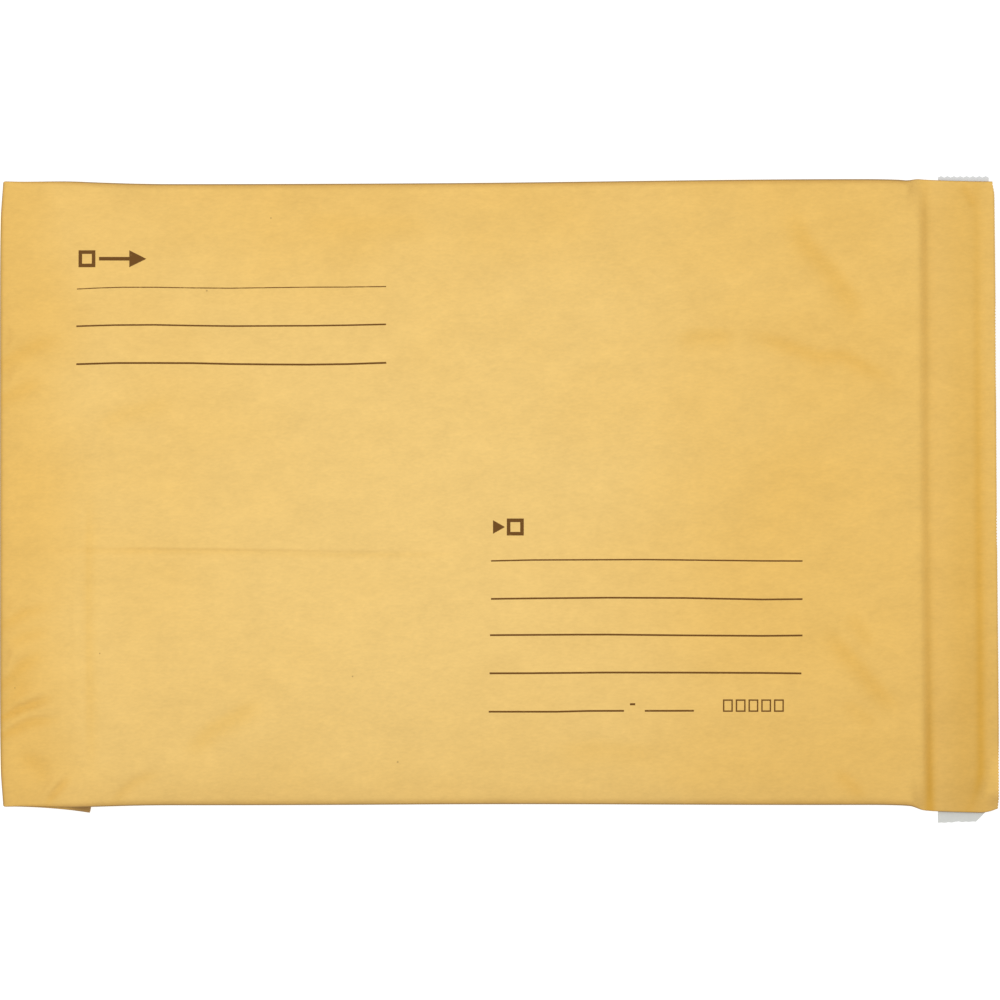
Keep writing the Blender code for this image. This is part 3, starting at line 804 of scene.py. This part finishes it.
def golden_edges(recipe):
    """Share of the deeper tone, which grows towards the edges. The ranges are metres."""
    x, y, _ = recipe.axes(recipe.places)
    leftward = recipe.times(x, -1.0)
    left = recipe.math("MULTIPLY_ADD", recipe.between(leftward, 0.02, 0.12), 0.3,
                       recipe.times(recipe.between(leftward, 0.135, 0.172), 0.7))
    wide = recipe.math("MAXIMUM", left, recipe.times(recipe.between(x, -0.01, 0.12), 0.8))
    tall = recipe.between(recipe.math("ABSOLUTE", recipe.math("ADD", y, 0.012)), 0.03, 0.13)
    return recipe.math("MAXIMUM", wide, recipe.times(tall, 0.65))


def specks(recipe):
    """1 on the pulp's few dark specks, which are placed as in the photograph."""
    nearest = 1.0
    flat = recipe.stretched((1.0, 1.0, 0.0))
    for column, row, radius in SPECKS:
        x, y = at(column, row)
        distance = recipe.node("VectorMath", Vector=flat)
        distance.operation = "DISTANCE"
        distance.inputs[1].default_value = ((x + SHIFT_X) * MM, (y + SHIFT_Y) * MM, 0.0)
        share = recipe.math("DIVIDE", distance.outputs["Value"], radius * MM)
        nearest = recipe.math("MINIMUM", nearest, share)
    return recipe.math("SUBTRACT", 1.0, recipe.between(nearest, 0.5, 1.1))


def inner_kraft():
    """Plainer, browner kraft that faces the pocket."""
    recipe = Recipe("kraft_inner", roughness=0.85, specular=0.15)
    pulp = recipe.noise(380.0, detail=4.0, along=0.4, roughness=0.6)
    recipe.bump(pulp, strength=0.4, distance=0.00015)
    return recipe.colour(recipe.mix(pulp, (0.44, 0.28, 0.13), (0.62, 0.43, 0.22)))


def fibre_mat():
    """Grey-brown macerated paper fibre."""
    recipe = Recipe("fibre", roughness=0.95, specular=0.1)
    flock = recipe.noise(300.0, detail=6.0, roughness=0.75)
    recipe.bump(flock, strength=0.9, distance=0.0008)
    return recipe.colour(recipe.mix(flock, (0.30, 0.27, 0.24), (0.62, 0.59, 0.54)))


def dried_glue():
    """Yellowish glue with a slight gloss."""
    recipe = Recipe("glue", roughness=0.35, specular=0.5)
    ripple = recipe.noise(160.0, detail=2.0, along=0.3)
    recipe.bump(ripple, strength=0.4, distance=0.0003)
    return recipe.colour(recipe.mix(ripple, (0.72, 0.60, 0.36), (0.86, 0.78, 0.55)))


def tacky_band():
    """Cream self-seal adhesive."""
    recipe = Recipe("adhesive", roughness=0.3, specular=0.5)
    ripple = recipe.noise(220.0)
    recipe.bump(ripple, strength=0.3, distance=0.0002)
    return recipe.colour(recipe.mix(ripple, (0.82, 0.78, 0.66), (0.90, 0.88, 0.80)))


def release_paper():
    """Grey silicone-coated paper, paler towards +Y, with painted shade darkening it towards -Y."""
    recipe = Recipe("release_paper", roughness=0.42, specular=0.4)
    mottle = recipe.noise(700.0, roughness=0.6)
    recipe.bump(mottle, strength=0.15, distance=0.00008)
    _, y, _ = recipe.axes(recipe.places)
    pale = recipe.mix(mottle, (0.60, 0.61, 0.61), (0.68, 0.69, 0.69))
    # Painted shade: the darker grey towards the -Y end
    shaded_grey = recipe.mix(mottle, (0.50, 0.51, 0.49), (0.58, 0.59, 0.56))
    return recipe.colour(recipe.mix(recipe.between(y, -0.1, 0.1), shaded_grey, pale))


# Ink where it lies thick and where fibres show through, and the span of noise between
INK_DARK = (0.135, 0.055, 0.005)
INK_BARE = (0.44, 0.26, 0.06)
BARE_RUN = 0.25


def brown_ink(name, bare_from):
    """Printing ink soaked into the fibres, thinner where the fibre noise is over bare_from."""
    recipe = Recipe(name, roughness=0.7, specular=0.2)
    fibre = recipe.noise(1300.0, along=0.3, roughness=0.65)
    return recipe.colour(recipe.mix(recipe.between(fibre, bare_from, bare_from + BARE_RUN),
                                    INK_DARK, INK_BARE))


def pale_floor():
    """White sweep that the lights and a glow of its own keep even."""
    recipe = Recipe("floor", roughness=0.9, specular=0.0)
    recipe.shader.inputs["Emission Color"].default_value = (1.0, 1.0, 1.0, 1.0)
    recipe.shader.inputs["Emission Strength"].default_value = FLOOR_GLOW
    faint = recipe.noise(3.0, detail=2.0)
    return recipe.colour(recipe.mix(faint, (0.30, 0.30, 0.30), (0.33, 0.33, 0.33)))


# Pieces

def outer_rows(station):
    return [section_points(station, depth, LAP_LOW_END, LAP_TOP_END) for depth in (0.0, PLY)]


def outer_sheet(stations, material):
    """The creased outer ply: front, back, lap, folded bottom and pinked lip."""
    roots = outer_rows(Station(MOUTH_X - TOOTH_DEPTH, 0.0))
    piece = closed_layer("creased_outer_sheet", [outer_rows(station) for station in stations],
                         material, pinked_at=roots)
    mark_sheet(piece)
    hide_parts("outer_kraft_sheet")
    return piece


def mark_sheet(piece):
    """Give the upper points the two attributes that the kraft paper's recipe reads."""
    places = np.array([vertex.co for vertex in piece.data.vertices]) / MM - (SHIFT_X, SHIFT_Y, 0.0)
    facing_up = np.array([vertex.normal.z for vertex in piece.data.vertices]) > FACING_UP
    for label, values in (("bruise_and_shade", bruise_and_shade(places[:, 0], places[:, 1])), ("shaded", shaded(*places.T))):
        marks = piece.data.attributes.new(label, "FLOAT", "POINT")
        marks.data.foreach_set("value", values * facing_up)


def inner_liner(stations, material):
    """The ply that faces the pocket, creased with the outer one and cut a little shorter."""
    end = Station(MOUTH_X - INNER_SETBACK, 0.0)
    lined = [station for station in stations if station.x < end.x] + [end]
    sections = [[section_points(station, station.liner_depth + depth, INNER_LOW_END, INNER_TOP_END)
                 for depth in (0.0, PLY)]
                for station in lined]
    piece = closed_layer("creased_inner_liner", sections, material)
    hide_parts("inner_kraft_liner")
    return piece


# Room left round the padding, and its least thickness at the crushed ends
PAD_INSET = 0.45
PAD_EDGE = 1.1


def padding_mat(stations, material):
    """Fibre mat between the plies, clear of both, open along the seam."""
    top_end = STEP_START + LAP_MARGIN
    sections = []
    for station in stations[::2]:
        depths = (PLY + CLEARANCE + PAD_INSET, station.liner_depth - CLEARANCE - PAD_INSET / 2)
        if depths[1] - depths[0] >= PAD_EDGE:
            sections.append([section_points(station, depth, INNER_LOW_END, top_end) for depth in depths])
    piece = closed_layer("padding_mat", sections, material)
    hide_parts("padding")
    return piece


# Release liner: its steps across, how far it narrows, its teeth, and its two curled ends
LINER_COLUMNS = 16
LINER_TAPER = 1.6
LINER_TOOTH = 0.5
LINER_END_RUN = 9.0
LINER_END_STEPS = 7
LINER_SPACING = 6.0
LINER_CURL = 0.7
LINER_CORNER_CUT = 6.4
# How far the ragged low end is torn back at each point across it
LINER_LOW_RAGS = (0.0, 0.1, 0.0, 0.2, 0.1, 0.35, 0.5, 0.2, 0.4, 0.3, 0.45, 0.3, 0.4, 0.0, 0.0, 0.0, 0.0)


def release_liner(material):
    """Paper strip under the lip, cut by teeth at its +Y end and torn raggedly at the other."""
    low, high = (np.array(corner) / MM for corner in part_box("release_liner"))
    x = np.linspace(low[0], high[0], LINER_COLUMNS + 1)
    teeth = LINER_TOOTH * (np.arange(LINER_COLUMNS + 1) % 2)
    top_end = high[1] - LINER_TOOTH + teeth
    cut = np.maximum(0.0, x - (high[0] - LINER_CORNER_CUT))
    bottom_end = low[1] + np.maximum(cut, np.array(LINER_LOW_RAGS))
    inner_low, inner_high = low[1] + LINER_END_RUN, high[1] - LINER_END_RUN
    shares = np.linspace(0.0, 1.0, LINER_END_STEPS + 1)
    rows = [bottom_end + (inner_low - bottom_end) * share for share in shares]
    rows += [np.full(len(x), y) for y in evenly(inner_low, inner_high, LINER_SPACING)[1:-1]]
    rows += [top_end + (inner_high - top_end) * share for share in shares[::-1]]
    sections = []
    for y in rows:
        inside = np.minimum(y - low[1], high[1] - y) / LINER_END_RUN
        lift = LINER_CURL * (1.0 - np.clip(inside, 0.0, 1.0)) ** 2
        taper = 1.0 - LINER_TAPER / (high[0] - low[0]) * ease(0.0, high[1], y)
        across = low[0] + (x - low[0]) * taper
        sections.append([np.stack([across, y, low[2] + lift + rise], axis=-1)[::-1] * MM
                         for rise in (LINER, 0.0)])
    piece = closed_layer("torn_release_liner", sections, material)
    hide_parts("release_liner")
    return piece


# Print: strokes of ink that lie in the paper's top fibres

# How far the ink stands above the sheet and reaches into it
INK_PROUD = 0.015
INK_SUNK = 0.05
# How much wider the rules print than they measure, and the gap between strokes that meet
INK_SPREAD = 1.16
INK_GAP = 0.01
STROKE_STEP = 0.4
RAY_HEIGHT = 1.0


class Printer:
    """Lays strokes on the front of a finished sheet."""

    def __init__(self, sheet):
        self.tree = BVHTree.FromObject(sheet, bpy.context.evaluated_depsgraph_get())
        self.points = []
        self.faces = []

    def drop(self, x, y):
        """Height of the sheet, in metres, at a loft place."""
        above = ((x + SHIFT_X) * MM, (y + SHIFT_Y) * MM, RAY_HEIGHT)
        return self.tree.ray_cast(above, (0, 0, -1))[0].z

    def stroke(self, places, widths):
        """A flat bar of ink along loft places, with a width in millimetres at each."""
        places, widths = np.array(places, float), np.array(widths, float)
        lengths = np.concatenate(([0.0], np.cumsum(np.hypot(*np.diff(places, axis=0).T))))
        marks = np.unique(np.concatenate([evenly(0.0, lengths[-1], STROKE_STEP), lengths]).round(6))
        x, y = (np.interp(marks, lengths, column) for column in places.T)
        half = np.interp(marks, lengths, widths) / 2
        run = np.stack([np.gradient(x), np.gradient(y)])
        run /= np.hypot(*run)
        first = len(self.points)
        for i in range(len(marks)):
            for side in (1, 0, -1):
                px, py = x[i] - side * run[1][i] * half[i], y[i] + side * run[0][i] * half[i]
                top = self.drop(px, py) / MM
                for lift in (INK_PROUD, -INK_SUNK):
                    self.points.append(np.array([px + SHIFT_X, py + SHIFT_Y, top + lift]) * MM)
        # A mark has six points, listed here in order round its section
        rows = [[first + 6 * i + k for k in (0, 2, 4, 5, 3, 1, 0)] for i in range(len(marks))]
        for near, far in zip(rows, rows[1:]):
            self.faces += strip(near, far, flip=True)
        for row, flip in ((rows[0], True), (rows[-1], False)):
            ends = [(row[0], row[1], row[4], row[5]), (row[1], row[2], row[3], row[4])]
            self.faces += wound(ends, flip)

    def finish(self, name, material):
        piece = new_piece(name, self.points, self.faces, material)
        self.points, self.faces = [], []
        return piece


# Ruled lines as places in the photograph, with their waver, and their widths in millimetres
SENDER_RULES = (
    (((76, 288.3), (96, 287.4), (122, 286.6), (154, 286.5), (193, 287.2), (231, 287.5), (269, 287.0),
      (308, 286.5), (346, 286.4), (385.5, 285.9)), 0.30),
    (((75.5, 325.6), (96, 325.0), (116, 324.5), (154, 324.2), (193, 325.0), (231, 325.5), (308, 325.2),
      (346, 324.7), (385.5, 323.8)), 0.48),
    (((75.5, 363.6), (116, 362.5), (154, 362.4), (193, 362.6), (231, 363.5), (269, 363.9), (308, 364.1),
      (346, 363.6), (385.8, 362.3)), 0.56),
)
ADDRESS_RULES = (
    (((490.5, 560.4), (531, 559.5), (646, 559.1), (685, 559.5), (762, 560.4), (802, 560.5)), 0.44),
    (((490.5, 598.4), (531, 597.9), (608, 597.2), (684, 597.5), (762, 599.0), (802, 598.6)), 0.52),
    (((489.5, 634.7), (569, 634.2), (608, 634.1), (684, 634.9), (762, 635.4), (802, 635.0)), 0.54),
    (((489.0, 672.9), (530, 672.8), (606, 672.1), (684, 672.2), (760, 672.5), (801, 673.0)), 0.56),
    (((488.2, 711.4), (556, 711.4), (588, 710.6), (623.6, 710.5)), 0.54),
    (((644.4, 710.5), (669, 710.5), (693.5, 710.4)), 0.54),
)
DASH = (((629.6, 703.9), (634.8, 703.9)), 0.62)
DARK_INK_FROM = 0.62
PALE_INK_FROM = 0.5
# Generic marks in the place of words: left, top, right and bottom in the photograph
SENDER_MARK = (77.5, 249.5, 145.4, 266.5)
ADDRESS_MARK = (492.5, 518.0, 523.3, 535.0)
CODE_BOXES = (722.6, 699.0, 785.0, 711.5)
CODE_LENGTH = 5
# Widths of their strokes, of an arrow's point, and an arrow head's height as a share of its box's
HEAVY, FINE, POINT = 1.25, 0.5, 0.02
ARROW_SHARE = 0.8


def open_box(printer, left, top, right, bottom, width):
    """A square outline of four strokes that meet at its corners."""
    half = width / 2
    for y in (top - half, bottom + half):
        printer.stroke(((left, y), (right, y)), (width, width))
    for x in (left + half, right - half):
        printer.stroke(((x, bottom + width + INK_GAP), (x, top - width - INK_GAP)), (width, width))


def arrow_head(printer, x, y, length, height):
    """A solid triangle that points along X."""
    printer.stroke(((x, y), (x + length, y)), (height, POINT))


def mark_frame(mark):
    """Left, top, right and bottom, in loft lengths, of a mark's place in the photograph."""
    return at(*mark[:2]) + at(*mark[2:])


def sender_mark(printer):
    """A small square with an arrow leaving it."""
    left, top, right, bottom = mark_frame(SENDER_MARK)
    size, middle = top - bottom, (top + bottom) / 2
    open_box(printer, left, top, left + size, bottom, HEAVY)
    printer.stroke(((left + size + HEAVY, middle), (right - size - INK_GAP, middle)), (HEAVY, HEAVY))
    arrow_head(printer, right - size, middle, size, size)


def address_mark(printer):
    """An arrow that reaches a small square."""
    left, top, right, bottom = mark_frame(ADDRESS_MARK)
    size, middle = top - bottom, (top + bottom) / 2
    arrow_head(printer, left, middle, right - size - HEAVY / 2 - left, size * ARROW_SHARE)
    open_box(printer, right - size, top, right, bottom, HEAVY)


def code_boxes(printer):
    """A row of empty boxes for a code."""
    left, top, right, bottom = mark_frame(CODE_BOXES)
    pitch = (right - left + FINE) / CODE_LENGTH
    for i in range(CODE_LENGTH):
        start = left + pitch * i
        open_box(printer, start, top, start + pitch - 2 * FINE, bottom, FINE)


def print_sheet(sheet):
    """All the ink on the address side."""
    printer = Printer(sheet)
    pale, dark = brown_ink("pale_ink", PALE_INK_FROM), brown_ink("dark_ink", DARK_INK_FROM)
    for name, ink, lines in (("first_sender_rule", pale, SENDER_RULES[:1]),
                             ("sender_rules", dark, SENDER_RULES[1:]),
                             ("address_rules", dark, ADDRESS_RULES + (DASH,))):
        for points, width in lines:
            printer.stroke([at(*point) for point in points], [INK_SPREAD * width] * len(points))
        printer.finish(name, ink)
    for name, draw in (("sender_mark", sender_mark), ("address_mark", address_mark),
                       ("code_boxes", code_boxes)):
        draw(printer)
        printer.finish(name, dark)


# Stage, light and camera

# Floor: its side, how far it lies below the part, and the strength of its own glow
FLOOR_SIZE, FLOOR_DROP, FLOOR_GLOW = 8.0, 0.0002, 0.8
ROOM_STRENGTH = 0.74
KEY_PLACE, KEY_SIZE, KEY_POWER = (-0.4, 0.3, 2.2), 1.2, 22.0
CAMERA_REACH = 20.0


def add_floor():
    bpy.ops.mesh.primitive_plane_add(size=FLOOR_SIZE, location=(0.0, 0.0, -FLOOR_DROP))
    floor = bpy.context.object
    floor.name = "floor"
    floor.data.materials.append(pale_floor())


def add_light():
    """An even white room, and one large soft lamp above that faces the envelope."""
    world = bpy.data.worlds.new("soft_room")
    world.use_nodes = True
    background = world.node_tree.nodes["Background"]
    background.inputs["Color"].default_value = (1.0, 1.0, 1.0, 1.0)
    background.inputs["Strength"].default_value = ROOM_STRENGTH
    bpy.context.scene.world = world
    data = bpy.data.lights.new("key", "AREA")
    data.size = KEY_SIZE
    data.energy = KEY_POWER
    lamp = bpy.data.objects.new("key", data)
    lamp.location = KEY_PLACE
    lamp.rotation_euler = Vector(KEY_PLACE).to_track_quat("Z", "Y").to_euler()
    lamp.visible_camera = False
    bpy.context.scene.collection.objects.link(lamp)


def add_camera():
    """Straight down over the photograph's middle, with a long lens."""
    data = bpy.data.cameras.new("camera")
    distance = CAMERA_HEIGHT - OUTLINE_HEIGHT_MM * MM
    data.sensor_width = SENSOR
    data.lens = SENSOR * distance / (PICTURE_PIXELS * PIXEL_MM * MM)
    data.clip_end = CAMERA_REACH
    camera = bpy.data.objects.new("camera", data)
    x, y = at(MIDDLE_PIXEL, MIDDLE_PIXEL)
    camera.location = ((x + SHIFT_X) * MM, (y + SHIFT_Y) * MM, CAMERA_HEIGHT)
    bpy.context.scene.collection.objects.link(camera)
    bpy.context.scene.camera = camera


def dress_small_nodes():
    """The glues and the adhesive show their own solids."""
    glue = dried_glue()
    for name, material in (("seam_glue", glue), ("fold_glue", glue), ("closure_adhesive", tacky_band())):
        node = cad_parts[name]
        node.data.materials.clear()
        node.data.materials.append(material)


bpy.context.scene.view_settings.view_transform = "Standard"
stations = make_stations()
sheet = outer_sheet(stations, kraft_paper())
inner_liner(stations, inner_kraft())
padding_mat(stations, fibre_mat())
release_liner(release_paper())
dress_small_nodes()
print_sheet(sheet)
add_floor()
add_light()
add_camera()
